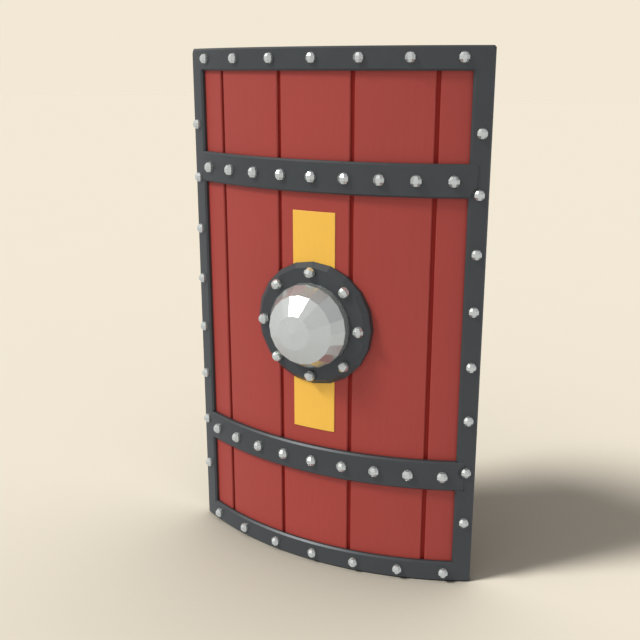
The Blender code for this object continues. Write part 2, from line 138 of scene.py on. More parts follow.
class RivetSizes(bpy.types.PropertyGroup):
    """Sizes of the rivet heads, each cut from a faceted ball."""

    rim_radius: FloatProperty(
        name="On the rim", description="Radius of the balls on the rim",
        default=0.0104, min=0.004, max=0.015, unit="LENGTH")
    band_radius: FloatProperty(
        name="On the bands", description="Radius of the balls on the cross bands",
        default=0.0115, min=0.004, max=0.015, unit="LENGTH")
    boss_radius: FloatProperty(
        name="Round the boss", description="Radius of the balls round the boss",
        default=0.0112, min=0.004, max=0.015, unit="LENGTH")
    rise: FloatProperty(
        name="Rise", description="How far a ball's centre stands before the rim or band",
        default=0.0015, min=0.0, max=0.01, unit="LENGTH")
    boss_rise: FloatProperty(
        name="Rise round the boss", description="How far a ball's centre stands before the ring",
        default=0.0046, min=0.0, max=0.01, unit="LENGTH")
    sides: IntProperty(name="Sides", description="Facets round a ball", default=8, min=4, max=32)
    rows: IntProperty(name="Rows", description="Rows of facets on a ball", default=5, min=3, max=16)


class BandSizes(bpy.types.PropertyGroup):
    """Sizes of the two cross bands and their rivets."""

    width: FloatProperty(
        name="Width", description="Height of each cross band",
        default=0.0617, min=0.03, max=0.1, unit="LENGTH")
    proud: FloatProperty(
        name="Proud", description="How far a band's front stands before the planks",
        default=0.0112, min=0.003, max=0.015, unit="LENGTH")
    lap: FloatProperty(
        name="Lap", description="How far each end of a band laps over the rim",
        default=0.0178, min=0.0, max=0.03, unit="LENGTH")
    edge: FloatProperty(
        name="Edge", description="Width of the sloping edge along a band's front",
        default=0.0034, min=0.0005, max=0.004, unit="LENGTH")
    rivet_count: IntProperty(
        name="Rivets", description="Rivets along each band", default=9, min=2, max=20)
    rivet_inset: FloatProperty(
        name="Rivet inset", description="From a band's end to the middle of its first rivet",
        default=0.0443, min=0.02, max=0.1, unit="LENGTH")


class ClenchSizes(bpy.types.PropertyGroup):
    """Sizes of the clenched rivet ends behind the shield and of the nails in the grip."""

    radius: FloatProperty(
        name="Radius", description="Radius of a clenched rivet end",
        default=0.0052, min=0.002, max=0.01, unit="LENGTH")
    height: FloatProperty(
        name="Height", description="How far a clenched end stands off the back",
        default=0.0016, min=0.0005, max=0.004, unit="LENGTH")
    nail_radius: FloatProperty(
        name="Nail radius", description="Radius of a nail head in the grip",
        default=0.0046, min=0.002, max=0.01, unit="LENGTH")


class FinishColours(bpy.types.PropertyGroup):
    """Colours of the shield's finishes."""

    red: FloatVectorProperty(
        name="Red paint", description="Paint on the planks",
        default=(0.325, 0.0410, 0.0297), size=3, min=0, max=1, subtype="COLOR")
    deep_red: FloatVectorProperty(
        name="Deep red paint", description="Paint on the board behind the planks",
        default=(0.292, 0.0215, 0.0150), size=3, min=0, max=1, subtype="COLOR")
    yellow: FloatVectorProperty(
        name="Yellow paint", description="Paint on the stripe",
        default=(0.820, 0.455, 0.0600), size=3, min=0, max=1, subtype="COLOR")
    iron: FloatVectorProperty(
        name="Blackened iron", description="Rim, bands and ring",
        default=(0.0500, 0.0545, 0.0570), size=3, min=0, max=1, subtype="COLOR")
    steel: FloatVectorProperty(
        name="Bright steel", description="Boss and rivets",
        default=(0.600, 0.622, 0.593), size=3, min=0, max=1, subtype="COLOR")
    wood: FloatVectorProperty(
        name="Bare wood", description="Hand grip",
        default=(0.300, 0.170, 0.0800), size=3, min=0, max=1, subtype="COLOR")


class StageSettings(bpy.types.PropertyGroup):
    """Floor, light and camera."""

    floor: FloatVectorProperty(
        name="Floor", description="Colour of the floor",
        default=(0.3060, 0.2776, 0.2288), size=3, min=0, max=1, subtype="COLOR")
    backdrop: FloatVectorProperty(
        name="Backdrop", description="Colour of the room behind the shield",
        default=(0.888, 0.807, 0.665), size=3, min=0, max=1, subtype="COLOR")
    walls: FloatVectorProperty(
        name="Walls", description="Colour of the even light from all round",
        default=(0.810, 0.812, 0.815), size=3, min=0, max=1, subtype="COLOR")
    key: FloatProperty(
        name="Key light", description="Strength of the main light, front left",
        default=2.0, min=0, max=10)
    floor_key: FloatProperty(
        name="Floor light", description="Strength of the lamp that lights only the floor",
        default=7.2, min=0, max=10)
    lens: FloatProperty(
        name="Lens", description="Focal length of the camera in millimetres",
        default=50.0, min=10, max=200)


class ShieldSettings(bpy.types.PropertyGroup):
    """All that can be changed on the shield and its stage."""

    rim: PointerProperty(type=RimSizes, name="Rim", description="Sizes of the iron rim")
    rivet: PointerProperty(type=RivetSizes, name="Rivets", description="Sizes of the rivet heads")
    band: PointerProperty(type=BandSizes, name="Bands", description="Sizes of the cross bands")
    clench: PointerProperty(
        type=ClenchSizes, name="Clenched ends", description="Rivet ends behind the shield")
    colour: PointerProperty(type=FinishColours, name="Colours", description="Colours of the finishes")
    stage: PointerProperty(type=StageSettings, name="Stage", description="Floor, light and camera")


# Working on one mesh by hand

def only(piece):
    """Make one object the only selected and the active one."""
    bpy.ops.object.select_all(action="DESELECT")
    piece.select_set(True)
    bpy.context.view_layer.objects.active = piece


def settle(piece):
    """Put an object's place and turn into its mesh."""
    only(piece)
    bpy.ops.object.transform_apply(location=True, rotation=True, scale=True)


def just_made(name):
    """The object that an operator has just added, under its own name."""
    made = bpy.context.object
    made.name = name
    made.data.name = name
    settle(made)
    return made


def block(name, low, high):
    """Square block between two corners."""
    middle = [(a + b) / 2 for a, b in zip(low, high)]
    size = [b - a for a, b in zip(low, high)]
    bpy.ops.object.select_all(action="DESELECT")
    bpy.ops.mesh.primitive_cube_add(size=1.0, location=middle, scale=size)
    return just_made(name)


def cut(piece, tool):
    """Take one block out of another."""
    only(piece)
    difference = piece.modifiers.new("cut", "BOOLEAN")
    difference.operation = "DIFFERENCE"
    difference.solver = "EXACT"
    difference.object = tool
    bpy.ops.object.modifier_apply(modifier=difference.name)
    bpy.data.objects.remove(tool)


def bevel_edges(piece, width, steps, wanted):
    """Bevel every edge of which both ends pass the test."""
    mesh = piece.data
    mesh.polygons.foreach_set("select", [False] * len(mesh.polygons))
    mesh.vertices.foreach_set("select", [False] * len(mesh.vertices))
    places = [vertex.co for vertex in mesh.vertices]
    mesh.edges.foreach_set(
        "select", [wanted(places[edge.vertices[0]], places[edge.vertices[1]]) for edge in mesh.edges])
    only(piece)
    bpy.context.tool_settings.mesh_select_mode = (False, True, False)
    bpy.ops.object.mode_set(mode="EDIT")
    bpy.ops.mesh.bevel(offset=width, segments=steps, affect="EDGES", clamp_overlap=False)
    bpy.ops.object.mode_set(mode="OBJECT")


def slice_upright(piece, step):
    """Cut upright edge lines into a flat piece, so that it can bend."""
    reach = max(vertex.co.x for vertex in piece.data.vertices)
    count = math.floor(reach / step - 0.25)
    only(piece)
    bpy.ops.object.mode_set(mode="EDIT")
    for k in range(-count, count + 1):
        bpy.ops.mesh.select_all(action="SELECT")
        bpy.ops.mesh.bisect(plane_co=(k * step, 0, 0), plane_no=(1, 0, 0))
    bpy.ops.object.mode_set(mode="OBJECT")


def bend(piece):
    """Bend a flat piece onto the shield's curve."""
    across = [vertex.co.x for vertex in piece.data.vertices]
    only(piece)
    curve = piece.modifiers.new("bend", "SIMPLE_DEFORM")
    curve.deform_method = "BEND"
    curve.deform_axis = "Z"
    curve.angle = (max(across) - min(across)) / FACE_RADIUS
    bpy.ops.object.modifier_apply(modifier=curve.name)
    piece.location = (0, AXIS_Y - FACE_RADIUS, 0)
    settle(piece)


def smooth(piece, angle):
    """Shade smooth across edges flatter than an angle."""
    only(piece)
    bpy.ops.object.shade_smooth_by_angle(angle=math.radians(angle))


def outward(piece):
    """Merge doubles and turn every face outwards."""
    only(piece)
    bpy.ops.object.mode_set(mode="EDIT")
    bpy.ops.mesh.select_all(action="SELECT")
    bpy.ops.mesh.remove_doubles(threshold=1e-6)
    bpy.ops.mesh.normals_make_consistent(inside=False)
    bpy.ops.object.mode_set(mode="OBJECT")


def on_curve(radius, arc, height):
    """Point on the shield's curve, from its distance along the front of the planks."""
    turn = arc / FACE_RADIUS
    return Vector((radius * math.sin(turn), AXIS_Y - radius * math.cos(turn), height))


def seat(radius, arc, height):
    """Place and turn of something that stands square on the curve and looks outwards."""
    return Matrix.Translation(on_curve(radius, arc, height)) @ Matrix.Rotation(arc / FACE_RADIUS, 4, "Z")


def copies_joined(name, model, seats):
    """One object from copies of a model, one on each seat; the model itself goes."""
    made = []
    for place in seats:
        twin = model.copy()
        twin.data = model.data.copy()
        twin.data.transform(place)
        bpy.context.scene.collection.objects.link(twin)
        made.append(twin)
    bpy.data.objects.remove(model)
    bpy.ops.object.select_all(action="DESELECT")
    for twin in made:
        twin.select_set(True)
    bpy.context.view_layer.objects.active = made[0]
    bpy.ops.object.join()
    result = bpy.context.object
    result.name = name
    result.data.name = name
    return result


def rivet_head(radius, rise, turn=0.0):
    """Faceted ball that looks along -Y, cut off just inside the iron it stands on."""
    sizes = bpy.context.scene.shield.rivet
    bpy.ops.object.select_all(action="DESELECT")
    bpy.ops.mesh.primitive_uv_sphere_add(
        segments=sizes.sides, ring_count=sizes.rows, radius=radius, location=(0, -rise, 0),
        rotation=(0, 0, turn * 2 * math.pi / sizes.sides))
    head = just_made("head")
    bpy.ops.object.mode_set(mode="EDIT")
    bpy.ops.mesh.select_all(action="SELECT")
    bpy.ops.mesh.bisect(plane_co=(0, FIT, 0), plane_no=(0, 1, 0), use_fill=True, clear_outer=True)
    bpy.ops.object.mode_set(mode="OBJECT")
    return head


def rivet_row(name, head, seats, *nodes):
    """Rivets from one head, in place of their nodes."""
    row = copies_joined(name, head, seats)
    outward(row)
    finished(row, recipe_named("bright_ground_steel"), "bright_steel", *nodes)


def rivet_nodes(row, count):
    """Names of the rivets of one row of the frame."""
    return [f"{row}_rivet_{number}" for number in range(1, count + 1)]


def middle_of(node):
    """Middle of a node's box."""
    low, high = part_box(node)
    return (low + high) / 2


def on_rim(node, radius):
    """Seat on a given radius, in line with one of the rim's rivets."""
    middle = middle_of(node)
    return seat(radius, math.atan2(middle.x, AXIS_Y - middle.y) * FACE_RADIUS, middle.z)


def half_arc():
    """Half the rim's breadth, measured along the front of the planks."""
    rim = bpy.context.scene.shield.rim
    return math.asin(CAD_BOX[1][0] / (FACE_RADIUS + rim.proud - rim.edge)) * FACE_RADIUS


def band_reach():
    """Half a cross band's length, measured along the front of the planks."""
    shield = bpy.context.scene.shield
    return half_arc() - shield.rim.side_width + shield.band.lap


def band_seats(name, radius):
    """Seats of a band's rivets on a given radius."""
    sizes = bpy.context.scene.shield.band
    middle_rivet = (sizes.rivet_count - 1) / 2
    pitch = (band_reach() - sizes.rivet_inset) / middle_rivet
    return [seat(radius, (k - middle_rivet) * pitch, middle_of(name).z)
            for k in range(sizes.rivet_count)]


def finished(piece, material, slot_name, *nodes):
    """Give a new piece its material, and put it in place of its nodes; slot_name is not used."""
    piece.data.materials.clear()
    piece.data.materials.append(material)
    if nodes:
        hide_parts(*nodes)
    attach(piece, "root")


# Surface recipes

class Value:
    """A number that varies over a surface. Arithmetic on it adds Math nodes."""

    def __init__(self, recipe, socket):
        self.recipe = recipe
        self.socket = socket

    def math(self, operation, *others):
        """One step of arithmetic that starts from this value."""
        return self.recipe.math(operation, self, *others)

    def __add__(self, other):
        return self.math("ADD", other)

    def __radd__(self, other):
        return self.recipe.math("ADD", other, self)

    def __sub__(self, other):
        return self.math("SUBTRACT", other)

    def __rsub__(self, other):
        return self.recipe.math("SUBTRACT", other, self)

    def __mul__(self, other):
        return self.math("MULTIPLY", other)

    def __rmul__(self, other):
        return self.recipe.math("MULTIPLY", other, self)

    def __truediv__(self, other):
        return self.math("DIVIDE", other)

    def __pow__(self, other):
        return self.math("POWER", other)

    def between(self, low, high):
        """0 below the low value, 1 above the high one, smooth between."""
        return self.recipe.add(
            "ShaderNodeMapRange", {"interpolation_type": "SMOOTHSTEP"},
            {"Value": self, "From Min": low, "From Max": high}, "Result")


class Recipe:
    """The nodes of a material or of the world, in the making."""

    def __init__(self, owner):
        self.owner = owner
        owner.use_nodes = True
        self.tree = owner.node_tree

    def add(self, kind, settings, inputs, output=0):
        """One node: its settings first, then its sockets' values or links."""
        node = self.tree.nodes.new(kind)
        for key, value in settings.items():
            if key == "stops":
                self.set_stops(node.color_ramp, value)
            else:
                setattr(node, key, value)
        for key, value in inputs.items():
            if isinstance(value, Value):
                self.tree.links.new(value.socket, node.inputs[key])
            else:
                node.inputs[key].default_value = value
        return Value(self, node.outputs[output])

    def set_stops(self, ramp, stops):
        """Give a colour ramp its stops."""
        while len(ramp.elements) < len(stops):
            ramp.elements.new(0.5)
        for element, (place, colour) in zip(ramp.elements, stops):
            element.position = place
            element.color = (*colour, 1.0)

    def math(self, operation, *values):
        """One step of arithmetic on values or numbers."""
        return self.add("ShaderNodeMath", {"operation": operation}, dict(enumerate(values)))

    def flat_place(self):
        """Distance along the curve, distance from the axis and height of each point."""
        place = self.add("ShaderNodeTexCoord", {}, {}, "Object")
        x, y, z = self.split(place)
        ahead = AXIS_Y - y
        arc = self.math("ARCTAN2", x, ahead) * FACE_RADIUS
        reach = (x * x + ahead * ahead) ** 0.5
        return arc, reach, z

    def split(self, place):
        """The three parts of a place."""
        parts = self.tree.nodes.new("ShaderNodeSeparateXYZ")
        self.tree.links.new(place.socket, parts.inputs[0])
        return [Value(self, socket) for socket in parts.outputs]

    def vector(self, x, y, z):
        """A place, or an even grey, from three values."""
        return self.add("ShaderNodeCombineXYZ", {}, {0: x, 1: y, 2: z})

    def noise(self, place, scale, detail, rough, twist=0.0):
        """Cloudy noise from 0 to 1."""
        return self.add(
            "ShaderNodeTexNoise", {},
            {"Vector": place, "Scale": scale, "Detail": detail, "Roughness": rough, "Distortion": twist},
            "Fac")

    def blend(self, share, first, second, method="MIX"):
        """Mix of two colours, a pair that the node keeps in its sockets 6 and 7."""
        inputs = {"Factor": share, 6: first, 7: second}
        return self.add("ShaderNodeMix", {"data_type": "RGBA", "blend_type": method}, inputs, 2)

    def tinted(self, colour, light):
        """A colour made lighter and darker by a value."""
        return self.blend(1.0, shade(colour, 1.0), self.vector(light, light, light), "MULTIPLY")

    def edges(self, width):
        """Near 1 within a width of an edge, 0 on the flat."""
        round_normal = self.add("ShaderNodeBevel", {"samples": 6}, {"Radius": width})
        facing = self.add("ShaderNodeNewGeometry", {}, {}, "Normal")
        match = self.add("ShaderNodeVectorMath", {"operation": "DOT_PRODUCT"},
                         {0: round_normal, 1: facing}, "Value")
        return (1.0 - match).between(0.01, 0.20)

    def surface(self, colour, roughness, height, depth, strength, **constant):
        """Link what varies to the shader, and set its constant numbers on its own sockets."""
        inputs = self.tree.nodes["Principled BSDF"].inputs
        bump = self.add(
            "ShaderNodeBump", {}, {"Height": height, "Distance": depth, "Strength": strength})
        for socket, value in (("Base Color", colour), ("Roughness", roughness), ("Normal", bump)):
            self.tree.links.new(value.socket, inputs[socket])
        for socket, value in constant.items():
            inputs[socket.replace("_", " ")].default_value = value
        return self.owner


def shade(colour, factor):
    """A colour made lighter or darker, with its alpha."""
    return tuple(min(1.0, channel * factor) for channel in colour) + (1.0,)


def painted_wood(name, colour, wear, gloss):
    """Brushed paint over upright planks: grain that shows through, strokes, rubbed edges.

    From 0 to 1, wear is how far its edges are rubbed and gloss how much it shines.
    """
    r = Recipe(bpy.data.materials.new(name))
    arc, reach, height = r.flat_place()
    plank = r.math("FLOOR", arc / PLANK_PITCH + 0.5)
    shift = plank * 3.7
    grain_place = r.vector(arc * 55.0, reach * 20.0, height * 2.2 + shift)
    grain = r.noise(grain_place, scale=3.0, detail=6.0, rough=0.62, twist=0.35)
    stroke_place = r.vector(arc * 120.0, reach * 20.0, height * 5.0 + shift)
    strokes = r.noise(stroke_place, scale=3.0, detail=3.0, rough=0.55)
    patches = r.noise(r.vector(arc, reach, height + shift), scale=7.0, detail=2.0, rough=0.5)
    tone = r.add("ShaderNodeTexWhiteNoise", {"noise_dimensions": "1D"}, {"W": plank + 11.5}, "Value")
    light = 0.90 + grain * 0.07 + strokes * 0.06 + patches * 0.07 + tone * 0.03
    paint = r.tinted(colour, light)
    paler = r.edges(0.0012) * strokes.between(0.45, 0.62) * wear
    paint = r.blend(paler, paint, (0.52, 0.20, 0.13, 1.0))
    nick_place = r.vector(arc * 9.0, reach * 9.0, height * 3.0)
    nicks = r.noise(nick_place, scale=6.0, detail=4.0, rough=0.7).between(0.735, 0.76) * wear
    paint = r.blend(nicks * 0.5, paint, shade(colour, 0.62))
    roughness = 0.50 + strokes * 0.10 + paler * 0.15 + patches * 0.06
    relief = grain * 0.7 + strokes * 0.3 - nicks * 0.4
    return r.surface(paint, roughness, relief, depth=0.0007, strength=0.22 * gloss,
                     Specular_IOR_Level=0.35 * gloss)


def painted_stripe(name, colour):
    """Yellow paint laid on with a broad brush, its edges made paler: partly worn paint, partly a painted
    highlight.
    """
    r = Recipe(bpy.data.materials.new(name))
    arc, reach, height = r.flat_place()
    stroke_place = r.vector(arc * 130.0, reach * 20.0, height * 5.0)
    strokes = r.noise(stroke_place, scale=3.0, detail=4.0, rough=0.6)
    patches = r.noise(r.vector(arc, reach, height), scale=22.0, detail=2.0, rough=0.5)
    light = 0.93 + strokes * 0.08 + patches * 0.06
    paint = r.tinted(colour, light)
    # Paler edges on the stripe: partly worn paint, partly a painted highlight along its edges.
    paler = r.edges(0.0010) * patches.between(0.40, 0.60)
    paint = r.blend(paler * 0.80, paint, (1.0, 0.74, 0.34, 1.0))
    roughness = 0.46 + strokes * 0.10
    return r.surface(paint, roughness, strokes, depth=0.0004, strength=0.20, Specular_IOR_Level=0.35)


def blackened_iron(name, colour):
    """Forged iron, blackened, with faint hammer marks and rubbed edges."""
    r = Recipe(bpy.data.materials.new(name))
    place = r.add("ShaderNodeTexCoord", {}, {}, "Object")
    hammer = r.add("ShaderNodeTexVoronoi", {"feature": "SMOOTH_F1"},
                   {"Vector": place, "Scale": 62.0, "Smoothness": 0.8}, "Distance")
    clouds = r.noise(place, scale=26.0, detail=4.0, rough=0.6)
    pits = r.noise(place, scale=420.0, detail=3.0, rough=0.6)
    light = 0.86 + clouds * 0.22 + pits * 0.06
    iron = r.tinted(colour, light)
    paler = r.edges(0.0016) * clouds.between(0.42, 0.62)
    iron = r.blend(paler * 0.30, iron, shade(colour, 2.1))
    roughness = 0.30 + clouds * 0.12 + pits * 0.06 - paler * 0.04
    relief = hammer * 0.6 + pits * 0.25
    return r.surface(iron, roughness, relief, depth=0.0006, strength=0.16,
                     Metallic=0.35, Specular_IOR_Level=0.4)


def bright_steel(name, colour):
    """Steel ground to flat facets and polished, with fine marks, and a foot darkened by dirt and by
    painted shade where it meets the ring.
    """
    r = Recipe(bpy.data.materials.new(name))
    place = r.add("ShaderNodeTexCoord", {}, {}, "Object")
    clouds = r.noise(place, scale=30.0, detail=3.0, rough=0.55)
    marks_place = r.add("ShaderNodeMapping", {"vector_type": "TEXTURE"},
                        {"Vector": place, "Rotation": (0.0, 0.6, 0.0), "Scale": (1.0, 1.0, 0.06)})
    marks = r.noise(marks_place, scale=900.0, detail=2.0, rough=0.6)
    light = 0.95 + clouds * 0.07 + marks * 0.03
    steel = r.tinted(colour, light)
    x, _, z = r.split(place)
    height = z - BOSS_HEIGHT
    reach = (x * x + height * height) ** 0.5
    # Painted shade and dirt: a dark band round the boss's foot, in the crease where it meets the ring,
    # which is also made rougher.
    foot_grime_and_shade = reach.between(0.0846, 0.0856) * (1.0 - reach.between(0.0925, 0.0940))
    steel = r.blend(foot_grime_and_shade * 0.85, steel, shade(colour, 0.16))
    roughness = 0.22 + clouds * 0.04 + marks * 0.03 + foot_grime_and_shade * 0.3
    return r.surface(steel, roughness, marks, depth=0.0001, strength=0.10, Metallic=0.76)


def oiled_wood(name, colour):
    """Ash grip, grain along its length, darkened where the hand holds it."""
    r = Recipe(bpy.data.materials.new(name))
    place = r.add("ShaderNodeTexCoord", {}, {}, "Object")
    x, y, z = r.split(place)
    bow = r.noise(r.vector(x * 3.0, y * 14.0, z * 14.0), scale=2.0, detail=2.0, rough=0.5)
    rings = r.add("ShaderNodeTexWave", {"wave_type": "RINGS", "rings_direction": "X"},
                  {"Vector": r.vector(x * 0.6, y * 9.0 + bow * 0.25, z * 9.0 + 0.4), "Scale": 5.0,
                   "Distortion": 3.0, "Detail": 2.0}, "Fac")
    fibre = r.noise(r.vector(x * 6.0, y * 160.0, z * 160.0), scale=3.0, detail=4.0, rough=0.6)
    wood = r.add("ShaderNodeValToRGB", {"stops": (
        (0.0, [c * 0.55 for c in colour]), (0.55, colour), (1.0, [c * 1.25 for c in colour]))},
        {"Fac": rings * 0.55 + fibre * 0.45}, "Color")
    held = 1.0 - r.math("ABSOLUTE", x).between(0.035, 0.075)
    wood = r.blend(held * 0.45, wood, shade(colour, 0.42))
    roughness = 0.60 - held * 0.16 + fibre * 0.12
    return r.surface(wood, roughness, rings * 0.4 + fibre * 0.6, depth=0.0006, strength=0.30,
                     Specular_IOR_Level=0.35)


def recipe_named(name):
    """One of the shield's materials, made when it is first asked for."""
    if name in bpy.data.materials:
        return bpy.data.materials[name]
    colour = bpy.context.scene.shield.colour
    finishes = {
        "red_brushed_paint": (painted_wood, colour.red, 1.0, 1.0),
        "deep_red_paint": (painted_wood, colour.deep_red, 0.6, 0.3),
        "yellow_brushed_paint": (painted_stripe, colour.yellow),
        "blackened_iron": (blackened_iron, colour.iron),
        "bright_ground_steel": (bright_steel, colour.steel),
        "oiled_ash": (oiled_wood, colour.wood),
    }
    maker, tint, *amounts = finishes[name]
    return maker(name, tuple(tint), *amounts)


def dress(nodes, material_name):
    """Give frame nodes a finished material in place of their plain one."""
    material = recipe_named(material_name)
    for node in nodes:
        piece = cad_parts[node]
        for slot in piece.material_slots:
            slot.material = material


class SHIELD_OT_rim(bpy.types.Operator):
    """Iron rim, folded round the edge of the board and welded at its corners"""

    bl_idname = "shield.make_rim"
    bl_label = "Rim"

    def execute(self, context):
        sizes = context.scene.shield.rim
        side = half_arc()
        front = -sizes.proud
        board_back = FACE_RADIUS - BACKING_BACK + FIT
        back = board_back + sizes.wall
        rim = block("rim", (-side, front, 0.0), (side, back, HEIGHT))
        cut(rim, block("board", (-BOARD_HALF, -FIT, sizes.wall),
                       (BOARD_HALF, board_back, HEIGHT - sizes.wall)))
        inner = side - sizes.side_width
        cut(rim, block("window", (-inner, 2 * front, sizes.end_width),
                       (inner, 2 * back, HEIGHT - sizes.end_width)))
        near = FIT / 3

        def at_front(a, b):
            return max(a.y, b.y) < front + near

        def at_corner(a, b):
            outer = abs(a.x) > side - near and abs(b.x) > side - near
            ends = all(min(c.z, HEIGHT - c.z) < near for c in (a, b))
            return outer and ends and abs(a.y - b.y) > near and a.x * b.x > 0

        bevel_edges(rim, sizes.edge, 1, lambda a, b: at_front(a, b) or at_corner(a, b))
        bevel_edges(rim, sizes.wall / 4, 1, lambda a, b: min(a.y, b.y) > back - near)
        slice_upright(rim, BEND_STEP)
        bend(rim)
        smooth(rim, IRON_SMOOTH)
        finished(rim, recipe_named("blackened_iron"), "dark_iron", "left_rim_strip",
                 "right_rim_strip", "top_rim_strip", "bottom_rim_strip")
        return {"FINISHED"}


class SHIELD_OT_bands(bpy.types.Operator):
    """Two cross bands, lapped over the rim and notched round its rivets, with steel rivets"""

    bl_idname = "shield.make_bands"
    bl_label = "Cross bands"

    def execute(self, context):
        rim = context.scene.shield.rim
        sizes = context.scene.shield.band
        side = half_arc()
        reach = band_reach()
        lap = side - rim.side_width - FIT
        for name in BANDS:
            middle = middle_of(name).z
            low, high = middle - sizes.width / 2, middle + sizes.width / 2
            bar = block(f"{name}_iron", (-reach, -sizes.proud, low), (reach, -FIT, high))
            for sign in (-1, 1):
                ends = sorted((sign * lap, sign * 2 * side))
                cut(bar, block("lap", (ends[0], -rim.proud - FIT, low - AMPLE),
                               (ends[1], AMPLE, high + AMPLE)))
                self.notch(bar, sign, middle, sizes.width / 2, rim.proud)
            front = FIT / 3 - sizes.proud
            bevel_edges(bar, sizes.edge, 1, lambda a, b: max(a.y, b.y) < front)
            slice_upright(bar, BEND_STEP)
            bend(bar)
            smooth(bar, IRON_SMOOTH)
            finished(bar, recipe_named("blackened_iron"), "dark_iron", name)
            balls = context.scene.shield.rivet
            head = rivet_head(balls.band_radius, balls.rise, 0.5)
            rivet_row(f"{name}_rivets", head, band_seats(name, FACE_RADIUS + sizes.proud))
        return {"FINISHED"}

    def notch(self, bar, sign, middle, half, proud):
        """Round notch in a band's end, where a rim rivet stands beside it."""
        room = bpy.context.scene.shield.rivet.rim_radius + 3 * FIT
        column = "right" if sign > 0 else "left"
        for node in rivet_nodes(column, RIM_ROWS[column]):
            place = on_rim(node, FACE_RADIUS)
            height = place.translation.z
            if abs(height - middle) > half + room:
                continue
            arc = place.to_euler().z * FACE_RADIUS
            bpy.ops.object.select_all(action="DESELECT")
            bpy.ops.mesh.primitive_cylinder_add(
                vertices=32, radius=room, depth=0.04, rotation=(math.radians(90), 0, 0),
                location=(arc, -proud, height))
            cut(bar, just_made("notch"))


class SHIELD_OT_rivets(bpy.types.Operator):
    """Steel rivets along the rim and round the boss"""

    bl_idname = "shield.make_rivets"
    bl_label = "Rivets"

    def execute(self, context):
        sizes = context.scene.shield.rivet
        front = FACE_RADIUS + context.scene.shield.rim.proud
        for row, count in RIM_ROWS.items():
            nodes = rivet_nodes(row, count)
            head = rivet_head(sizes.rim_radius, sizes.rise, 0.5)
            rivet_row(f"{row}_rivets", head, [on_rim(node, front) for node in nodes], *nodes)
        nodes = rivet_nodes("boss", BOSS_RIVETS)
        seats = [self.on_ring(node) for node in nodes]
        rivet_row("boss_rivets", rivet_head(sizes.boss_radius, sizes.boss_rise), seats, *nodes)
        return {"FINISHED"}

    def on_ring(self, node):
        """Seat of a rivet on the boss ring, turned with its place round the ring."""
        middle = middle_of(node)
        turn = math.atan2(middle.x, middle.z - BOSS_HEIGHT) + math.pi / 2
        place = Matrix.Translation((middle.x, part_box(node)[1].y + FIT, middle.z))
        return place @ Matrix.Rotation(turn, 4, "Y")


class SHIELD_OT_clenches(bpy.types.Operator):
    """Clenched rivet ends behind the board and nails in the grip's pads"""

    bl_idname = "shield.make_clenches"
    bl_label = "Clenched ends"

    def execute(self, context):
        sizes = context.scene.shield.clench
        rim_back = BACKING_BACK - FIT - context.scene.shield.rim.wall
        rim_seats = []
        for row, count in RIM_ROWS.items():
            rim_seats += [on_rim(node, rim_back) for node in rivet_nodes(row, count)]
        ends = copies_joined("rim_clenches", self.button(sizes.radius, sizes.height), rim_seats)
        finished(ends, recipe_named("blackened_iron"), "dark_iron")
        board_seats = [place for name in BANDS for place in band_seats(name, BACKING_BACK)]
        for node in rivet_nodes("boss", BOSS_RIVETS):
            if abs(middle_of(node).z - BOSS_HEIGHT) > PAD_HALF:
                board_seats.append(self.behind(node, BACKING_BACK))
        ends = copies_joined("board_clenches", self.button(sizes.radius, sizes.height), board_seats)
        finished(ends, recipe_named("blackened_iron"), "dark_iron")
        nails = [Matrix.Translation((x, GRIP_BACK, BOSS_HEIGHT + z))
                 for x in NAIL_COLUMNS for z in NAIL_ROWS]
        heads = copies_joined("grip_nails", self.button(sizes.nail_radius, sizes.height), nails)
        finished(heads, recipe_named("blackened_iron"), "dark_iron")
        return {"FINISHED"}

    def button(self, radius, height):
        """Low round button that looks along +Y from a flat foot at the origin."""
        bpy.ops.object.select_all(action="DESELECT")
        bpy.ops.mesh.primitive_cylinder_add(
            vertices=14, radius=radius, depth=height, location=(0, height / 2, 0),
            rotation=(math.radians(-90), 0, 0))
        made = just_made("button")
        bevel_edges(made, height * 0.55, 3, lambda a, b: min(a.y, b.y) > height - FIT / 3)
        smooth(made, BUTTON_SMOOTH)
        return made

    def behind(self, node, radius):
        """Seat straight behind a rivet of the boss, on the curve of a given radius."""
        middle = middle_of(node)
        return seat(radius, math.asin(middle.x / radius) * FACE_RADIUS, middle.z)


class SHIELD_OT_boards(bpy.types.Operator):
    """Paint on the planks, the board behind them and the stripe"""

    bl_idname = "shield.paint_boards"
    bl_label = "Paint"

    def execute(self, context):
        dress([f"plank_{k}" for k in range(1, 6)], "red_brushed_paint")
        dress(["backing_board"], "deep_red_paint")
        dress(["upper_stripe", "lower_stripe"], "yellow_brushed_paint")
        return {"FINISHED"}


class SHIELD_OT_metal(bpy.types.Operator):
    """Finish of the boss and its ring"""

    bl_idname = "shield.finish_metal"
    bl_label = "Metal"

    def execute(self, context):
        dress(["boss_ring"], "blackened_iron")
        dress(["boss_dome"], "bright_ground_steel")
        return {"FINISHED"}


class SHIELD_OT_grip(bpy.types.Operator):
    """Finish of the hand grip"""

    bl_idname = "shield.finish_grip"
    bl_label = "Grip"

    def execute(self, context):
        dress(["hand_grip"], "oiled_ash")
        return {"FINISHED"}


def facing(azimuth, elevation):
    """Direction towards a light; azimuth 0 is in front of the shield, 90 to its right."""
    a, e = math.radians(azimuth), math.radians(elevation)
    return Vector((math.sin(a) * math.cos(e), -math.cos(a) * math.cos(e), math.sin(e)))


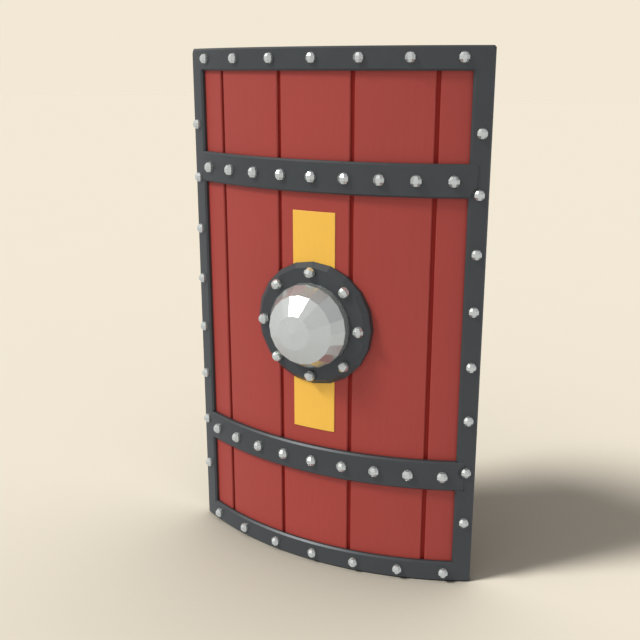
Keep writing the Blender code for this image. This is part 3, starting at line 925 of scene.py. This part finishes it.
class SHIELD_OT_stage(bpy.types.Operator):
    """Pale floor, soft studio light and the camera"""

    bl_idname = "shield.set_stage"
    bl_label = "Stage"

    def execute(self, context):
        settings = context.scene.shield.stage
        floor = self.floor(settings)
        self.lamp("key_light", settings.key, KEY_WAY)
        only_floor = bpy.data.collections.new("lit_floor")
        only_floor.objects.link(floor)
        floor_lamp = self.lamp("floor_light", settings.floor_key, FLOOR_KEY_WAY)
        floor_lamp.light_linking.receiver_collection = only_floor
        self.room(context, settings)
        camera = bpy.data.cameras.new("camera")
        camera.lens = settings.lens
        camera.sensor_width = 36.0
        view = bpy.data.objects.new("camera", camera)
        view.location = CAMERA_PLACE
        view.rotation_euler = [math.radians(turn) for turn in CAMERA_TURN]
        context.scene.collection.objects.link(view)
        context.scene.camera = view
        context.scene.view_settings.view_transform = "Standard"
        return {"FINISHED"}

    def floor(self, settings):
        """Wide floor with faint mottling, darker where the shield hides the sky from it."""
        bpy.ops.object.select_all(action="DESELECT")
        bpy.ops.mesh.primitive_grid_add(x_subdivisions=8, y_subdivisions=8, size=60.0)
        floor = just_made("studio_floor")
        r = Recipe(bpy.data.materials.new("studio_floor_paint"))
        place = r.add("ShaderNodeTexCoord", {}, {}, "Object")
        mottle = r.noise(place, scale=3.0, detail=3.0, rough=0.5)
        open_sky = r.add("ShaderNodeAmbientOcclusion", {"samples": 16}, {"Distance": 6.0}, "AO")
        colour = r.tinted(settings.floor, (0.995 + mottle * 0.01) * open_sky ** 0.95)
        seen = r.add("ShaderNodeLightPath", {}, {}, "Is Camera Ray")
        grey = sum(settings.floor) / 3
        colour = r.blend(seen, (grey, grey, grey, 1.0), colour)
        roughness = 0.85 + mottle * 0.1
        floor.data.materials.append(
            r.surface(colour, roughness, mottle, depth=0.0005, strength=0.02, Specular_IOR_Level=0.0))
        return floor

    def lamp(self, name, strength, way):
        """Distant lamp of a soft breadth."""
        lamp = bpy.data.lights.new(name, "SUN")
        lamp.energy = strength
        lamp.angle = math.radians(LAMP_BREADTH)
        lamp.color = (1.0, 1.0, 1.0)
        towards = facing(*way)
        holder = bpy.data.objects.new(name, lamp)
        holder.rotation_euler = towards.to_track_quat("Z", "Y").to_euler()
        holder.location = towards * 5
        bpy.context.scene.collection.objects.link(holder)
        return holder

    def room(self, context, settings):
        """Even light from all round, dimmer at the upper right in what the steel mirrors.

        The backdrop that is seen has its own colour.
        """
        world = bpy.data.worlds.new("room")
        context.scene.world = world
        r = Recipe(world)
        place = r.add("ShaderNodeTexCoord", {}, {}, "Generated")
        towards = r.add("ShaderNodeVectorMath", {"operation": "DOT_PRODUCT"},
                        {0: place, 1: facing(*DIM_WALL_WAY)}, "Value")
        share = r.add("ShaderNodeMapRange", {}, {"Value": towards, "From Min": 0.20, "From Max": 0.85})
        mirrored = r.add("ShaderNodeLightPath", {}, {}, "Is Glossy Ray")
        dim = (*(c * kept for c, kept in zip(settings.walls, (0.646, 0.638, 0.683))), 1.0)
        light = r.blend(share * mirrored, (*settings.walls, 1.0), dim)
        walls = r.add("ShaderNodeBackground", {}, {"Color": light})
        backdrop = r.add("ShaderNodeBackground", {}, {"Color": (*settings.backdrop, 1.0)})
        seen = r.add("ShaderNodeLightPath", {}, {}, "Is Camera Ray")
        either = r.add("ShaderNodeMixShader", {}, {0: seen, 1: walls, 2: backdrop})
        r.tree.links.new(either.socket, r.tree.nodes["World Output"].inputs["Surface"])


class SHIELD_PT_panel(bpy.types.Panel):
    """Lists the shield's pieces and their sizes"""

    bl_idname = "SHIELD_PT_panel"
    bl_label = "Shield"
    bl_space_type = "VIEW_3D"
    bl_region_type = "UI"
    bl_category = "Shield"

    def draw(self, context):
        for operator in OPERATORS:
            self.layout.operator(operator.bl_idname)
        settings = context.scene.shield
        for group in (settings.rim, settings.rivet, settings.band,
                      settings.clench, settings.colour, settings.stage):
            box = self.layout.box()
            box.label(text=group.bl_rna.name)
            for key in group.bl_rna.properties.keys():
                if key not in ("rna_type", "name"):
                    box.prop(group, key)


OPERATORS = (
    SHIELD_OT_boards, SHIELD_OT_metal, SHIELD_OT_grip, SHIELD_OT_rim, SHIELD_OT_bands,
    SHIELD_OT_rivets, SHIELD_OT_clenches, SHIELD_OT_stage,
)
CLASSES = (
    RimSizes, RivetSizes, BandSizes, ClenchSizes, FinishColours, StageSettings, ShieldSettings,
    SHIELD_PT_panel,
) + OPERATORS


def register():
    """Make the shield's settings, operators and panel known."""
    for item in CLASSES:
        bpy.utils.register_class(item)
    bpy.types.Scene.shield = PointerProperty(type=ShieldSettings)


def unregister():
    """Take them away again."""
    del bpy.types.Scene.shield
    for item in reversed(CLASSES):
        bpy.utils.unregister_class(item)


def main():
    """Make every piece and the stage."""
    register()
    for operator in OPERATORS:
        group, name = operator.bl_idname.split(".")
        getattr(getattr(bpy.ops, group), name)()


if __name__ == "__main__":
    main()
